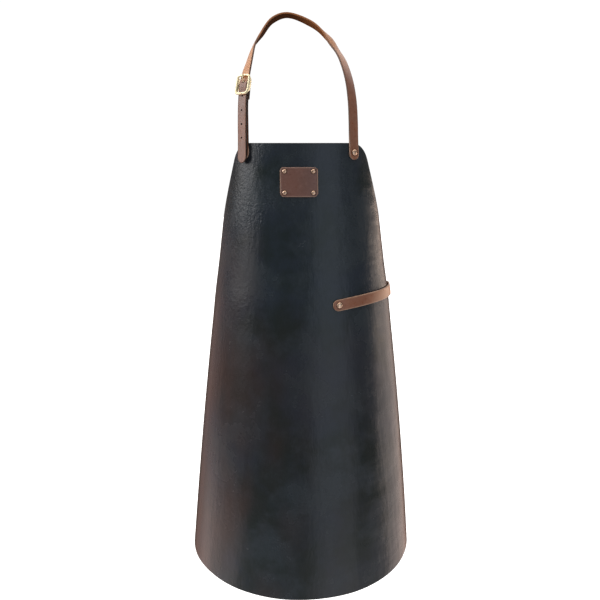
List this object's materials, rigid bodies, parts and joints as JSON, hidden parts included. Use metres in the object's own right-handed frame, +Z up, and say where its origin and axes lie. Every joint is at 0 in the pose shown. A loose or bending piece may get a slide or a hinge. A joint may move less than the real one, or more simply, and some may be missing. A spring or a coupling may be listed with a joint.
{
  "type": "leather apron",
  "caption": "Full-length leather work apron in its worn form, with a bib, a riveted label patch, a towel strap on the hip and a neck strap that closes with a buckle.",
  "frame": {"origin": "middle of the neck strap's inner face where it rests on the nape, in the apron's middle plane", "axes": "+X to the right in a front view, +Y from the front towards the wearer's back, +Z up"},
  "size_m": [0.438, 0.2972, 1.0225],
  "materials": {
    "hide": "near-black waxed hide, satin",
    "strap": "reddish brown harness leather, satin",
    "label": "brown leather patch, bare",
    "buckle": "polished pale brass",
    "rivet": "antique copper-brass domes"
  },
  "bodies": {
    "root": {"apron_body": "hide", "neck_strap": "strap", "buckle_strap": "strap", "towel_strap": "strap", "label_patch": "label", "buckle_frame": "buckle", "buckle_prong": "buckle", "neck_rivet_right": "rivet", "neck_rivet_left": "rivet", "label_rivet_1": "rivet", "label_rivet_2": "rivet", "label_rivet_3": "rivet", "label_rivet_4": "rivet", "towel_rivet_front": "rivet", "towel_rivet_back": "rivet", "buckle_fold_rivet": "rivet"}
  },
  "joints": []
}
